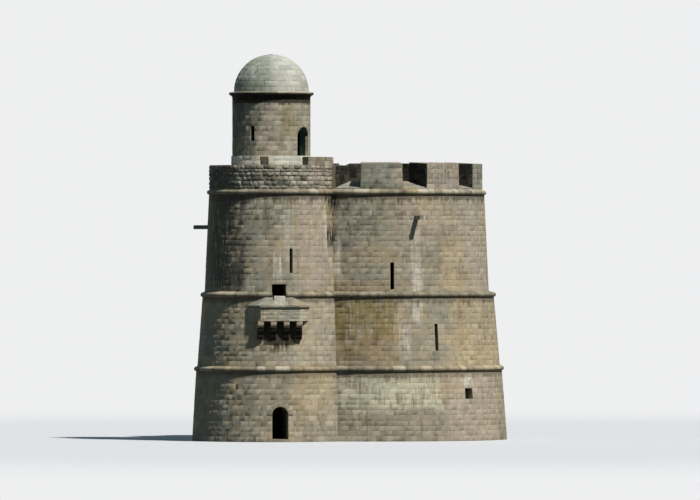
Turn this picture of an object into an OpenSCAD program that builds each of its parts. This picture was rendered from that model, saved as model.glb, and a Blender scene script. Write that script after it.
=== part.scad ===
// Round granite coast tower with an attached stair turret, built storey by storey.
// Lengths are millimetres. The origin is on the axis of the main drum, at ground level.
// An azimuth is counted from -Y, the side of the stair turret, towards +X.

/* [Levels] */
// Top of the ground floor slab
ground_floor_top = 200; // [150:10:400]
// Underside of the lower string course
lower_string_z = 5180; // [5000:10:5400]
// Underside of the middle string course
middle_string_z = 10700; // [10400:10:10900]
// Underside of the top string course
top_string_z = 18330; // [17800:10:18800]
// Top of the merlons at their inner edge
merlon_top_z = 20750; // [20600:10:21000]
// Underside of the slab that closes the stair turret
terrace_z = 20200; // [20100:10:20400]

/* [Drum] */
// Outer radius of the drum at the ground
drum_foot_r = 10000; // [9800:10:10300]
// Outer radius under the lower string course
drum_base_top_r = 9600; // [9500:10:9750]
// Outer radius above the lower string course
drum_middle_foot_r = 9450; // [9300:10:9500]
// Outer radius under the middle string course
drum_middle_top_r = 9000; // [8900:10:9100]
// Outer radius above the middle string course
drum_upper_foot_r = 8620; // [8500:10:8750]
// Outer radius under the top string course
drum_upper_top_r = 8280; // [8200:10:8400]
// Radius of the ground room
ground_room_r = 5750; // [5500:10:5800]
// Radius of the first floor room
first_room_r = 6000; // [5900:10:6050]
// Radius of the second floor room
second_room_r = 6200; // [6120:10:6300]

/* [Stair turret] */
// Distance from the drum axis to the turret axis
turret_offset = 10000; // [9900:10:10200]
// Outer radius of the turret at the ground
turret_foot_r = 5900; // [5750:10:6000]
// Outer radius under the lower string course
turret_base_top_r = 5600; // [5500:10:5700]
// Outer radius above the lower string course
turret_middle_foot_r = 5500; // [5420:10:5550]
// Outer radius under the middle string course
turret_middle_top_r = 5120; // [5060:10:5200]
// Outer radius above the middle string course
turret_upper_foot_r = 4960; // [4850:10:5000]
// Outer radius under the top string course
turret_upper_top_r = 4640; // [4600:10:4700]
// Outer radius of the turret above the top string course
turret_head_r = 4600; // [4500:10:4630]
// Radius of the round stair shaft
shaft_r = 1950; // [1800:10:2050]
// Thickness of the slab over the shaft
terrace_h = 300; // [250:10:350]

/* [String courses] */
// Height of a string course
string_h = 420; // [400:5:480]
// Radius of the half round nose of a string course
string_nose_r = 165; // [120:5:190]

/* [Floors and vault] */
// Thickness of the two upper floors
floor_h = 300; // [250:10:380]
// Level where the vault springs from its ledge
vault_spring_z = 15600; // [15000:10:15800]
// Rise of the vault from its springing to its crown
vault_rise = 2000; // [1600:10:2100]
// Width of the ledge that carries the vault
vault_seat_w = 300; // [200:10:350]
// Thickness of the paving on the gun platform
paving_h = 150; // [100:10:200]

/* [Parapet] */
// Number of equal bays round the drum, one of them taken by the turret
bays = 10; // [10:1:10]
// Inner radius of the parapet
parapet_in_r = 5900; // [5700:10:5950]
// Outer radius of the parapet at its foot
parapet_foot_r = 8150; // [8050:10:8200]
// Outer radius of the parapet at its top
parapet_top_r = 8100; // [8000:10:8150]
// Fall of the merlon tops towards the outside
merlon_fall = 100; // [40:10:200]
// Width of an embrasure at the outer face
embrasure_out_w = 1930; // [1800:10:1950]
// Width of an embrasure at the inner face
embrasure_in_w = 900; // [700:10:1100]
// Level of the embrasure sill at the inner face
sill_in_z = 19320; // [19100:10:19500]
// Height of the embrasure sill above the string course at the outer face
sill_out_h = 60; // [40:5:120]

/* [Terrace and lookout] */
// Height of the guard wall on the sunny side of the terrace
guard_h = 600; // [400:10:700]
// Thickness of the guard wall
guard_t = 700; // [500:10:800]
// Azimuth where the guard wall starts
guard_from = 87; // [80:1:92]
// Azimuth where the guard wall ends
guard_to = 146; // [140:1:150]
// Radius of the lookout plinth
plinth_r = 2980; // [2920:10:3100]
// Height of the lookout plinth
plinth_h = 700; // [600:10:800]
// Outer radius of the lookout wall
lookout_r = 2900; // [2820:10:2910]
// Inner radius of the lookout
lookout_in_r = 2200; // [2100:10:2300]
// Height of the lookout wall
lookout_h = 4150; // [3900:10:4300]
// Height of the lookout cornice
cornice_h = 620; // [560:10:700]
// Height of the lip of the cornice
cornice_lip_h = 170; // [120:10:220]
// Fall of the top of the cornice
cornice_fall = 30; // [10:5:60]
// Overhang of the cornice beyond the lookout wall
cornice_out = 240; // [180:10:300]
// Flat strip under the lip of the cornice, outside its hollow
cornice_drip = 20; // [10:5:40]
// Outer radius of the lookout dome
dome_r = 2780; // [2700:10:2850]
// Upright stretch below the dome
dome_stilt = 20; // [10:10:150]

/* [Doorways] */
// Azimuth of the entrance and of the box over it, about the turret axis
entrance_az = 57; // [53:1:61]
// Width of the entrance doorway
entrance_w = 1200; // [1000:10:1300]
// Height of the entrance doorway
entrance_h = 2400; // [2200:10:2600]
// Width of the doorways from the shaft to the rooms
room_door_w = 900; // [800:10:1000]
// Height of the doorways from the shaft to the rooms
room_door_h = 2050; // [1900:10:2200]
// Azimuth of the lookout doorway, about the turret axis
lookout_door_az = 106; // [100:1:112]
// Width of the lookout doorway
lookout_door_w = 1400; // [1100:10:1450]
// Height of the lookout doorway
lookout_door_h = 2150; // [2000:10:2300]

/* [Windows] */
// Width of the loops at the outer face
loop_w = 460; // [350:10:550]
// Width of the loops at the inner face
loop_in_w = 1200; // [1000:10:1300]
// Height of the loops in the drum
loop_h = 2000; // [1800:10:2200]
// Width of the base windows at the outer face
base_window_w = 800; // [700:10:900]
// Height of the base windows
base_window_h = 800; // [700:10:900]
// Width of the window above the box
box_window_w = 1070; // [950:10:1150]
// Height of the window above the box
box_window_h = 850; // [750:10:950]
// Width of the stair lights at the outer face
stair_light_w = 380; // [300:10:450]
// Height of the stair lights
stair_light_h = 1800; // [1500:10:2000]
// Width of the lookout slits
slit_w = 400; // [300:10:500]
// Height of the lookout slits
slit_h = 1100; // [900:10:1300]

/* [Box over the entrance] */
// Underside of the box walls
box_z = 8930; // [8850:10:9050]
// Height of the box walls
box_h = 1020; // [950:10:1100]
// Width of the front wall of the box
box_front_w = 2900; // [2700:10:3000]
// Distance from the turret axis to the front of the box
box_reach = 5830; // [5800:10:5950]
// Angle by which the side walls turn back from the front
box_cant = 55; // [50:1:60]
// Thickness of the box walls
box_t = 300; // [250:10:350]
// Overhang of the box roof
box_eaves = 110; // [80:10:160]
// Thickness of the box roof at its eaves
box_eaves_h = 120; // [100:10:160]
// Width of a corbel
corbel_w = 420; // [350:10:450]
// Height of a corbel
corbel_h = 1350; // [1200:10:1440]
// Reach of each step of a corbel past the step below it
corbel_step = 160; // [120:5:180]
// Distance between two corbels
corbel_pitch = 960; // [900:10:980]

/* [Water spouts] */
// Height and width of a spout stone
spout_w = 300; // [250:10:350]
// Length of a spout outside the wall
spout_out = 1050; // [900:10:1200]
// Length of a spout inside the wall
spout_in = 600; // [400:10:800]
// Radius of the channel in a spout
spout_channel_r = 80; // [60:5:95]
// Underside of the drum spouts
spout_z = 16450; // [16200:10:16800]
// Underside of the turret spout
turret_spout_z = 15750; // [15500:10:16000]

/* [Hidden] */
$fn = 480;
// Clearance where a curved face stands in a curved seat
fit = 0.5;
// Reach of a cut past the faces that it opens
past = 400;
// More than the width of the whole tower
wide = 40000;

bay = 360 / bays;
middle_foot_z = lower_string_z + string_h;
upper_foot_z = middle_string_z + string_h;
parapet_z = top_string_z + string_h;
paving_top_z = top_string_z + paving_h;
terrace_top_z = terrace_z + terrace_h;
lookout_z = terrace_top_z + plinth_h;
cornice_z = lookout_z + lookout_h;
dome_z = cornice_z + cornice_h;
first_floor_top = lower_string_z + floor_h;
second_floor_top = middle_string_z + floor_h;
turret_axis = [0, -turret_offset];
drum_axis = [0, 0];
sun_side = 1;
far_side = -1;

// Azimuths where one wall segment of the drum meets the next
wall_joints = [bay, 3 * bay, 5 * bay, 7 * bay, 9 * bay];
// One window for each wall segment, storey by storey
base_window_az = [96.5, 156, 204, 263.5];
middle_loop_az = [80, 140, 220, 280];
upper_loop_az = [59, 130, 230, 301];
spout_az = [72, 216, 288];
turret_spout_az = -40;
base_window_z = 3100;
middle_loop_z = 6700;
loop_rise = 150;
upper_loop_z = upper_foot_z + loop_rise;
stair_light_az = [68, -75];
stair_light_z = [12500, 13600];
box_window_rise = 110;
box_window_z = middle_string_z + box_window_rise;
box_hatch_w = 1200;
slit_az = [21.5, 225, 320];
slit_rise = 1100;
slit_z = lookout_z + slit_rise;
lookout_joints = [45, 165, 285, 405];

// Reach of the windows in each storey: past the wall face wherever it is widest
base_reach = max(drum_foot_r, drum_base_top_r);
middle_reach = max(drum_middle_foot_r, drum_middle_top_r);
upper_reach = max(drum_upper_foot_r, drum_upper_top_r);
turret_base_reach = max(turret_foot_r, turret_base_top_r);
turret_middle_reach = max(turret_middle_foot_r, turret_middle_top_r);
turret_upper_reach = max(turret_upper_foot_r, turret_upper_top_r);
parapet_reach = max(parapet_foot_r, parapet_top_r);
drain_az = 40;
drain_w = 650;
drain_h = 620;
drain_depth = 500;

granite = [0.62, 0.58, 0.50];
granite_grey = [0.53, 0.51, 0.46];
granite_pale = [0.70, 0.66, 0.57];
rubble = [0.42, 0.41, 0.37];
lime = [0.74, 0.72, 0.62];
paving = [0.56, 0.54, 0.49];

// Radius of a battered face at level z
function face_r(foot_r, top_r, foot_z, top_z, z) =
    foot_r + (top_r - foot_r) * (z - foot_z) / (top_z - foot_z);

// Section of a battered wall, from its inner radius to its sloping face
function wall_section(in_r, foot_r, top_r, foot_z, top_z) =
    [[in_r, foot_z], [foot_r, foot_z], [top_r, top_z], [in_r, top_z]];

// Plan of the box: a front and two canted sides that run back into the turret
function canted_plan(half_w, reach, run) = [
    [-half_w, -reach], [half_w, -reach],
    [half_w + run * cos(box_cant), -reach + run * sin(box_cant)],
    [-half_w - run * cos(box_cant), -reach + run * sin(box_cant)]
];

// Turns children so that their -Y side looks along an azimuth of a tower axis
module facing(az, axis) {
    translate([axis[0], axis[1], 0]) rotate([0, 0, az]) children();
}

// Part of a round wall between two azimuths
module arc_wall(section, from, to) {
    rotate([0, 0, from - 90]) rotate_extrude(angle = to - from) polygon(section);
}

module upright(r, from_z, to_z, axis) {
    translate([axis[0], axis[1], from_z]) cylinder(h = to_z - from_z, r = r);
}

// Opening with upright sides that narrows towards the outer face
module splayed_slot(z, h, in_w, out_w, in_r, out_r) {
    flare = (in_w - out_w) / 2 * past / (out_r - in_r);
    translate([0, 0, z]) linear_extrude(h) polygon([
        [-in_w / 2 - flare, -in_r + past], [in_w / 2 + flare, -in_r + past],
        [out_w / 2 - flare, -out_r - past], [-out_w / 2 + flare, -out_r - past]
    ]);
}

module arch_outline(w, h) {
    translate([-w / 2, 0]) square([w, h - w / 2]);
    translate([0, h - w / 2]) circle(w / 2);
}

// Arched way cut from one radius to another
module arched_way(z, w, h, in_r, out_r) {
    translate([0, -in_r + past, z])
        rotate([90, 0, 0])
            linear_extrude(out_r - in_r + 2 * past) arch_outline(w, h);
}

// Half of the space, to the right or left of the plane through both axes
module half_space(side) {
    translate([side > 0 ? 0 : -wide, -wide, -past]) cube([wide, 2 * wide, wide + past]);
}

// Stone spout with its channel, from inside the wall to past its face
module spout_stone(face, z) {
    difference() {
        translate([-spout_w / 2, -face - spout_out, z]) cube([spout_w, spout_out + spout_in, spout_w]);
        translate([0, -face + past, z + spout_w])
            rotate([90, 0, 0]) cylinder(h = spout_out + 2 * past, r = spout_channel_r);
    }
}

// Hole in the wall that the spout stone fills
module spout_pocket(face, z) {
    translate([-spout_w / 2, -face - spout_out, z]) cube([spout_w, spout_out + spout_in, spout_w]);
}

drum_spout_face_r = face_r(drum_upper_foot_r, drum_upper_top_r, upper_foot_z, top_string_z, spout_z);
turret_spout_face_r =
    face_r(turret_upper_foot_r, turret_upper_top_r, upper_foot_z, top_string_z, turret_spout_z);

// Floors, vault and paving

module ground_floor() {
    color(paving) {
        upright(ground_room_r - fit, 0, ground_floor_top, drum_axis);
        upright(shaft_r - fit, 0, ground_floor_top, turret_axis);
    }
}

// Each upper floor bears on the ledge where the wall below is thicker
module first_floor() {
    color(paving) upright(first_room_r - fit, lower_string_z, first_floor_top, drum_axis);
}

module second_floor() {
    color(paving) upright(second_room_r - fit, middle_string_z, second_floor_top, drum_axis);
}

// Shallow stone dome that carries the gun platform
module platform_vault() {
    vault_r = second_room_r + vault_seat_w - fit;
    arc_r = (second_room_r * second_room_r + vault_rise * vault_rise) / (2 * vault_rise);
    color(granite_grey) difference() {
        upright(vault_r, vault_spring_z, top_string_z, drum_axis);
        intersection() {
            translate([0, 0, vault_spring_z + vault_rise - arc_r]) sphere(arc_r);
            upright(second_room_r, vault_spring_z - past, top_string_z, drum_axis);
        }
    }
}

module platform_paving() {
    color(paving) upright(parapet_in_r - fit, top_string_z, paving_top_z, drum_axis);
}

// Drum walls, one segment for two bays

module base_wall(i) {
    color(granite) difference() {
        arc_wall(
            wall_section(ground_room_r, drum_foot_r, drum_base_top_r, 0, lower_string_z),
            wall_joints[i], wall_joints[i + 1]
        );
        facing(base_window_az[i], drum_axis)
            splayed_slot(base_window_z, base_window_h, loop_in_w, base_window_w, ground_room_r, base_reach);
    }
}

module middle_wall(i) {
    color(granite) difference() {
        arc_wall(
            wall_section(first_room_r, drum_middle_foot_r, drum_middle_top_r, middle_foot_z, middle_string_z),
            wall_joints[i], wall_joints[i + 1]
        );
        facing(middle_loop_az[i], drum_axis)
            splayed_slot(middle_loop_z, loop_h, loop_in_w, loop_w, first_room_r, middle_reach);
    }
}

module upper_wall(i) {
    color(granite) difference() {
        arc_wall([
            [second_room_r, upper_foot_z], [drum_upper_foot_r, upper_foot_z],
            [drum_upper_top_r, top_string_z], [second_room_r + vault_seat_w, top_string_z],
            [second_room_r + vault_seat_w, vault_spring_z], [second_room_r, vault_spring_z]
        ], wall_joints[i], wall_joints[i + 1]);
        facing(upper_loop_az[i], drum_axis)
            splayed_slot(upper_loop_z, loop_h, loop_in_w, loop_w, second_room_r, upper_reach);
        for (az = spout_az) facing(az, drum_axis) spout_pocket(drum_spout_face_r, spout_z);
    }
}

module base_wall_right_front() { base_wall(0); }
module base_wall_right_back() { base_wall(1); }
module base_wall_left_back() { base_wall(2); }
module base_wall_left_front() { base_wall(3); }
module middle_wall_right_front() { middle_wall(0); }
module middle_wall_right_back() { middle_wall(1); }
module middle_wall_left_back() { middle_wall(2); }
module middle_wall_left_front() { middle_wall(3); }
module upper_wall_right_front() { upper_wall(0); }
module upper_wall_right_back() { upper_wall(1); }
module upper_wall_left_back() { upper_wall(2); }
module upper_wall_left_front() { upper_wall(3); }

// String courses, each one bed of stone through the whole wall

// Section of a course: a half round nose and a top that sheds water to it
module string_section(below_r, above_r) {
    polygon([[0, 0], [below_r, 0], [below_r, 2 * string_nose_r], [above_r, string_h], [0, string_h]]);
    translate([below_r, string_nose_r]) circle(string_nose_r);
}

module string_course(z, room_r, drum_r, drum_above_r, turret_r, turret_above_r) {
    color(granite_pale) difference() {
        union() {
            translate([0, 0, z]) rotate_extrude() string_section(drum_r, drum_above_r);
            translate([0, -turret_offset, z]) rotate_extrude() string_section(turret_r, turret_above_r);
        }
        upright(room_r, z - past, z + string_h + past, drum_axis);
        upright(shaft_r, z - past, z + string_h + past, turret_axis);
        children();
    }
}

module lower_string() {
    string_course(
        lower_string_z, first_room_r, drum_base_top_r, drum_middle_foot_r,
        turret_base_top_r, turret_middle_foot_r
    );
}

module middle_string() {
    string_course(
        middle_string_z, second_room_r, drum_middle_top_r, drum_upper_foot_r,
        turret_middle_top_r, turret_upper_foot_r
    ) {
        box_window();
    }
}

module top_string() {
    string_course(
        top_string_z, parapet_in_r, drum_upper_top_r, parapet_foot_r,
        turret_upper_top_r, turret_head_r
    ) {
        facing(180, turret_axis) head_doorway();
    }
}

// Parapet with one splayed embrasure in each bay

function parapet_section(top_z, fall) =
    [[parapet_in_r, parapet_z], [parapet_foot_r, parapet_z], [parapet_top_r, top_z - fall], [parapet_in_r, top_z]];

module embrasure(az) {
    flare = (embrasure_out_w - embrasure_in_w) / 2 * past / (parapet_reach - parapet_in_r);
    facing(az, drum_axis)
        translate([0, 0, parapet_z - past]) linear_extrude(merlon_top_z - parapet_z + 2 * past) polygon([
            [-embrasure_in_w / 2 + flare, -parapet_in_r + past],
            [embrasure_in_w / 2 - flare, -parapet_in_r + past],
            [embrasure_out_w / 2 + flare, -parapet_reach - past],
            [-embrasure_out_w / 2 - flare, -parapet_reach - past]
        ]);
}

// Merlon between the embrasures of bay i and bay i + 1
module merlon(i) {
    color(granite) difference() {
        arc_wall(parapet_section(merlon_top_z, merlon_fall), i * bay, (i + 1) * bay);
        embrasure(i * bay);
        embrasure((i + 1) * bay);
    }
}

module merlons_right() {
    for (i = [1 : bays / 2 - 1]) merlon(i);
}

module merlons_left() {
    for (i = [bays / 2 : bays - 2]) merlon(i);
}

// Sloping stone that fills the foot of each embrasure
module embrasure_sills() {
    out_z = parapet_z + sill_out_h;
    out_r = face_r(parapet_foot_r, parapet_top_r, parapet_z, merlon_top_z - merlon_fall, out_z);
    for (i = [1 : bays - 1])
        color(granite_pale) intersection() {
            arc_wall(
                [[parapet_in_r, parapet_z], [parapet_foot_r, parapet_z], [out_r, out_z], [parapet_in_r, sill_in_z]],
                (i - 0.5) * bay, (i + 0.5) * bay
            );
            embrasure(i * bay);
        }
}

// Stair turret, one storey at a time, bonded with the bay of the drum that it covers

// Bay of the drum that the turret covers, as a solid up to the drum axis
module covered_bay(foot_r, top_r, foot_z, top_z) {
    intersection() {
        translate([0, 0, foot_z]) cylinder(h = top_z - foot_z, r1 = foot_r, r2 = top_r);
        translate([0, 0, foot_z - past]) linear_extrude(top_z - foot_z + 2 * past)
            polygon([[0, 0], [-wide * tan(bay), -wide], [wide * tan(bay), -wide]]);
    }
}

module turret_storey(side, room_r, drum_r, drum_top_r, foot_r, top_r, foot_z, top_z) {
    intersection() {
        difference() {
            union() {
                covered_bay(drum_r, drum_top_r, foot_z, top_z);
                translate([0, -turret_offset, foot_z]) cylinder(h = top_z - foot_z, r1 = foot_r, r2 = top_r);
            }
            upright(room_r, foot_z - past, top_z + past, drum_axis);
            upright(shaft_r, foot_z - past, top_z + past, turret_axis);
            children();
        }
        half_space(side);
    }
}

// Doorway from the shaft to a room, on the line between both axes
module room_doorway(z) {
    facing(180, turret_axis)
        arched_way(z, room_door_w, room_door_h, shaft_r, turret_offset - ground_room_r);
}

module head_doorway() {
    translate([-room_door_w / 2, -turret_offset + parapet_in_r - past, paving_top_z])
        cube([room_door_w, turret_offset - parapet_in_r - shaft_r + 2 * past, terrace_z - paving_top_z]);
}

module entrance_doorway() {
    facing(entrance_az, turret_axis)
        arched_way(ground_floor_top, entrance_w, entrance_h, shaft_r, turret_base_reach);
}

module box_window() {
    facing(entrance_az, turret_axis)
        splayed_slot(box_window_z, box_window_h, box_window_w, box_window_w, shaft_r, turret_middle_reach);
}

// Way from the shaft into the box over the entrance
module box_hatch() {
    facing(entrance_az, turret_axis)
        splayed_slot(box_z, box_h, box_hatch_w, box_hatch_w, shaft_r, turret_middle_reach);
}

module stair_light(i) {
    facing(stair_light_az[i], turret_axis)
        splayed_slot(stair_light_z[i], stair_light_h, loop_in_w, stair_light_w, shaft_r, turret_upper_reach);
}

module turret_base(side) {
    color(granite) turret_storey(
        side, ground_room_r, drum_foot_r, drum_base_top_r,
        turret_foot_r, turret_base_top_r, 0, lower_string_z
    ) {
        entrance_doorway();
        room_doorway(ground_floor_top);
    }
}

module turret_middle(side) {
    color(granite) turret_storey(
        side, first_room_r, drum_middle_foot_r, drum_middle_top_r,
        turret_middle_foot_r, turret_middle_top_r, middle_foot_z, middle_string_z
    ) {
        room_doorway(middle_foot_z);
        box_hatch();
    }
}

module turret_upper(side) {
    color(granite) turret_storey(
        side, second_room_r, drum_upper_foot_r, drum_upper_top_r,
        turret_upper_foot_r, turret_upper_top_r, upper_foot_z, top_string_z
    ) {
        upright(second_room_r + vault_seat_w, vault_spring_z, top_string_z + past, drum_axis);
        room_doorway(upper_foot_z);
        box_window();
        stair_light(0);
        stair_light(1);
        facing(turret_spout_az, turret_axis) spout_pocket(turret_spout_face_r, turret_spout_z);
    }
}

// Plan of the turret head: the round turret and the parapet stubs beside it
module head_block(foot_z, top_z) {
    difference() {
        union() {
            difference() {
                covered_bay(parapet_foot_r, parapet_foot_r, foot_z, top_z);
                embrasure(-bay);
                embrasure(bay);
            }
            upright(turret_head_r, foot_z, top_z, turret_axis);
        }
        upright(parapet_in_r, foot_z - past, top_z + past, drum_axis);
    }
}

module turret_head(side) {
    color(rubble) intersection() {
        difference() {
            head_block(parapet_z, terrace_z);
            upright(shaft_r, parapet_z - past, terrace_z + past, turret_axis);
            facing(180, turret_axis) head_doorway();
        }
        half_space(side);
    }
}

module turret_base_right() { turret_base(sun_side); }
module turret_base_left() { turret_base(far_side); }
module turret_middle_right() { turret_middle(sun_side); }
module turret_middle_left() { turret_middle(far_side); }
module turret_upper_right() { turret_upper(sun_side); }
module turret_upper_left() { turret_upper(far_side); }
module turret_head_right() { turret_head(sun_side); }
module turret_head_left() { turret_head(far_side); }

module turret_terrace() {
    color(rubble) head_block(terrace_z, terrace_top_z);
}

module terrace_guard() {
    color(granite_pale) translate([0, -turret_offset, 0]) arc_wall(
        wall_section(turret_head_r - guard_t, turret_head_r, turret_head_r, terrace_top_z, terrace_top_z + guard_h),
        guard_from, guard_to
    );
}

// Domed lookout on the turret

module lookout_plinth() {
    color(lime) difference() {
        upright(plinth_r, terrace_top_z, lookout_z, turret_axis);
        facing(drain_az, turret_axis)
            translate([-drain_w / 2, -plinth_r - past, terrace_top_z - past])
                cube([drain_w, drain_depth + past, drain_h + past]);
    }
}

module lookout_wall(i) {
    color(granite_grey) difference() {
        translate([0, -turret_offset, 0]) arc_wall(
            wall_section(lookout_in_r, lookout_r, lookout_r, lookout_z, cornice_z),
            lookout_joints[i], lookout_joints[i + 1]
        );
        children();
    }
}

module lookout_slit(i) {
    facing(slit_az[i], turret_axis)
        splayed_slot(slit_z, slit_h, slit_w, slit_w, lookout_in_r, lookout_r);
}

module lookout_wall_door() {
    lookout_wall(0) {
        facing(lookout_door_az, turret_axis)
            arched_way(lookout_z, lookout_door_w, lookout_door_h, lookout_in_r, lookout_r);
    }
}

module lookout_wall_back() {
    lookout_wall(1) lookout_slit(1);
}

module lookout_wall_front() {
    lookout_wall(2) {
        lookout_slit(0);
        lookout_slit(2);
    }
}

module lookout_cornice() {
    out_r = lookout_r + cornice_out;
    lip_top = cornice_h - cornice_fall;
    lip_foot = lip_top - cornice_lip_h;
    hollow_foot = lip_foot - cornice_out;
    color(granite_pale) translate([0, -turret_offset, cornice_z]) rotate_extrude() difference() {
        polygon([
            [lookout_in_r, 0], [lookout_r, 0], [lookout_r, hollow_foot], [out_r, lip_foot],
            [out_r, lip_top], [dome_r, cornice_h], [lookout_in_r, cornice_h]
        ]);
        translate([out_r, hollow_foot]) circle(cornice_out - cornice_drip);
    }
}

module lookout_dome() {
    color(granite_grey) translate([0, -turret_offset, dome_z]) difference() {
        union() {
            cylinder(h = dome_stilt, r = dome_r);
            translate([0, 0, dome_stilt]) sphere(dome_r);
        }
        cylinder(h = dome_stilt, r = lookout_in_r);
        translate([0, 0, dome_stilt]) sphere(lookout_in_r);
        translate([-wide / 2, -wide / 2, -wide]) cube(wide);
    }
}

// Box over the entrance, open below between its corbels

// Outside of the middle storey of the turret, as a cutter with clearance
module turret_middle_face() {
    translate([0, -turret_offset, middle_foot_z])
        cylinder(h = middle_string_z - middle_foot_z, r1 = turret_middle_foot_r + fit, r2 = turret_middle_top_r + fit);
}

// Side view of a corbel: three steps, each with a rounded nose
module corbel_outline(reach) {
    step_h = corbel_h / 3;
    root = turret_middle_top_r / 2;
    for (i = [0 : 2]) {
        step_reach = reach - (2 - i) * corbel_step;
        translate([root, i * step_h]) square([step_reach - step_h / 2 - root, step_h]);
        translate([step_reach - step_h / 2, (i + 0.5) * step_h]) circle(step_h / 2);
        translate([step_reach - step_h, (i + 0.5) * step_h]) square([step_h, step_h / 2]);
    }
}

module box_corbels() {
    for (i = [-1.5 : 1.5])
        color(granite_pale) difference() {
            facing(entrance_az, turret_axis)
                translate([i * corbel_pitch + corbel_w / 2, 0, box_z - corbel_h])
                    rotate([90, 0, -90]) linear_extrude(corbel_w) corbel_outline(box_reach);
            turret_middle_face();
        }
}

module box_wall() {
    run = box_reach / 4;
    color(granite_grey) difference() {
        facing(entrance_az, turret_axis) translate([0, 0, box_z]) linear_extrude(box_h) difference() {
            polygon(canted_plan(box_front_w / 2, box_reach, run));
            polygon(canted_plan(box_front_w / 2 - box_t * tan(box_cant / 2), box_reach - box_t, 2 * run));
        }
        turret_middle_face();
    }
}

// Hipped stone roof that leans on the turret under the middle string course
module box_roof() {
    run = box_reach / 4;
    eaves_z = box_z + box_h;
    eaves = box_front_w / 2 + box_eaves * tan(box_cant / 2);
    color(granite_pale) difference() {
        facing(entrance_az, turret_axis) hull() {
            translate([0, 0, eaves_z]) linear_extrude(box_eaves_h)
                polygon(canted_plan(eaves, box_reach + box_eaves, run));
            translate([0, 0, eaves_z]) linear_extrude(middle_string_z - eaves_z)
                polygon(canted_plan(box_front_w / 3, turret_middle_top_r, run / 2));
        }
        turret_middle_face();
    }
}

module water_spouts() {
    color(granite_pale) {
        for (az = spout_az) facing(az, drum_axis) spout_stone(drum_spout_face_r, spout_z);
        facing(turret_spout_az, turret_axis) spout_stone(turret_spout_face_r, turret_spout_z);
    }
}

ground_floor();
first_floor();
second_floor();
platform_vault();
platform_paving();
base_wall_right_front();
base_wall_right_back();
base_wall_left_back();
base_wall_left_front();
middle_wall_right_front();
middle_wall_right_back();
middle_wall_left_back();
middle_wall_left_front();
upper_wall_right_front();
upper_wall_right_back();
upper_wall_left_back();
upper_wall_left_front();
lower_string();
middle_string();
top_string();
merlons_right();
merlons_left();
embrasure_sills();
turret_base_right();
turret_base_left();
turret_middle_right();
turret_middle_left();
turret_upper_right();
turret_upper_left();
turret_head_right();
turret_head_left();
turret_terrace();
terrace_guard();
lookout_plinth();
lookout_wall_door();
lookout_wall_back();
lookout_wall_front();
lookout_cornice();
lookout_dome();
box_corbels();
box_wall();
box_roof();
water_spouts();
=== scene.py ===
# Round granite coast tower: laid stones, weathering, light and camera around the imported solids.
# Lengths are metres and azimuths are degrees from -Y, the side of the stair turret, towards +X.
from functools import cache
from math import acos, asin, cos, pi, radians, sin, sqrt, tan

import bmesh
import bpy
import numpy as np
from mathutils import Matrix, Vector


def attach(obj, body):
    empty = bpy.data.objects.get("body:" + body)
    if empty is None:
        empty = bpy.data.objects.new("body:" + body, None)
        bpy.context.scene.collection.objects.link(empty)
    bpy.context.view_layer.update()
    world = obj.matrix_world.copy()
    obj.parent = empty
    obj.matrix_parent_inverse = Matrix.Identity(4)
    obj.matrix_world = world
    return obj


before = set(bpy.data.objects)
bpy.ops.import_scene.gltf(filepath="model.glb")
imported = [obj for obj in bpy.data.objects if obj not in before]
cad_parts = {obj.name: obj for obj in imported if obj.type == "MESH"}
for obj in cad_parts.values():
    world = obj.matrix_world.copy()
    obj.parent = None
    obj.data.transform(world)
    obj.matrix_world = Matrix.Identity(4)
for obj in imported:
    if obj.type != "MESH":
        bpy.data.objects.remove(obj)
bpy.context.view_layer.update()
scene = bpy.context.scene
print("frame loaded with", len(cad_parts), "solids")

drum = dict(
    axis=0.0, base=(10.0, 9.6), middle=(9.45, 9.0), upper=(8.62, 8.28), head=(8.15, 8.1),
    inside=5.9,  # of the parapet
)
turret = dict(
    axis=-10.0, base=(5.9, 5.6), middle=(5.5, 5.12), upper=(4.96, 4.64), head=(4.6, 4.6),
    entrance=57,  # azimuth of the entrance and of the box over it
)
level = dict(
    lowerString=5.18, middleString=10.7, topString=18.33, stringTall=0.42, sillInside=19.32,
    sillOutside=18.81, merlonInside=20.75, merlonOutside=20.65, paving=18.48, terraceFoot=20.2,
    terrace=20.5, lookout=21.2, cornice=25.35, dome=25.97,
)
middleFoot = level["lowerString"] + level["stringTall"]
upperFoot = level["middleString"] + level["stringTall"]
parapetFoot = level["topString"] + level["stringTall"]
storeys = dict(
    base=(0.0, level["lowerString"]), middle=(middleFoot, level["middleString"]),
    upper=(upperFoot, level["topString"]), head=(parapetFoot, level["terrace"]),
)
apart = drum["axis"] - turret["axis"]
fullTurn = 2 * pi


def paint(red, green, blue):
    # a colour as a picture shows it, 0 to 255, turned into light
    def light(c):
        c /= 255
        return c / 12.92 if c <= 0.04045 else ((c + 0.055) / 1.055) ** 2.4

    return (light(red), light(green), light(blue), 1.0)


def stops(*tones, at=None):
    # tones from the darkest stone to the palest, evenly spread where no places are given
    places = at or np.linspace(0, 1, len(tones))
    return [(place, paint(*tone)) for place, tone in zip(places, tones)]


# Finishes


def sums(operation):
    # both forms of an operator, so that 1 - wire works as wire - 1 does
    return (
        lambda wire, other: wire.recipe.sum(operation, wire, other),
        lambda wire, other: wire.recipe.sum(operation, other, wire),
    )


class Wire:
    # one output of a node, ready for sums
    __add__, __radd__ = sums("ADD")
    __sub__, __rsub__ = sums("SUBTRACT")
    __mul__, __rmul__ = sums("MULTIPLY")

    def __init__(self, recipe, socket):
        self.recipe, self.socket = recipe, socket

    def of(self, name):
        return Wire(self.recipe, self.socket.node.outputs[name])


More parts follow.
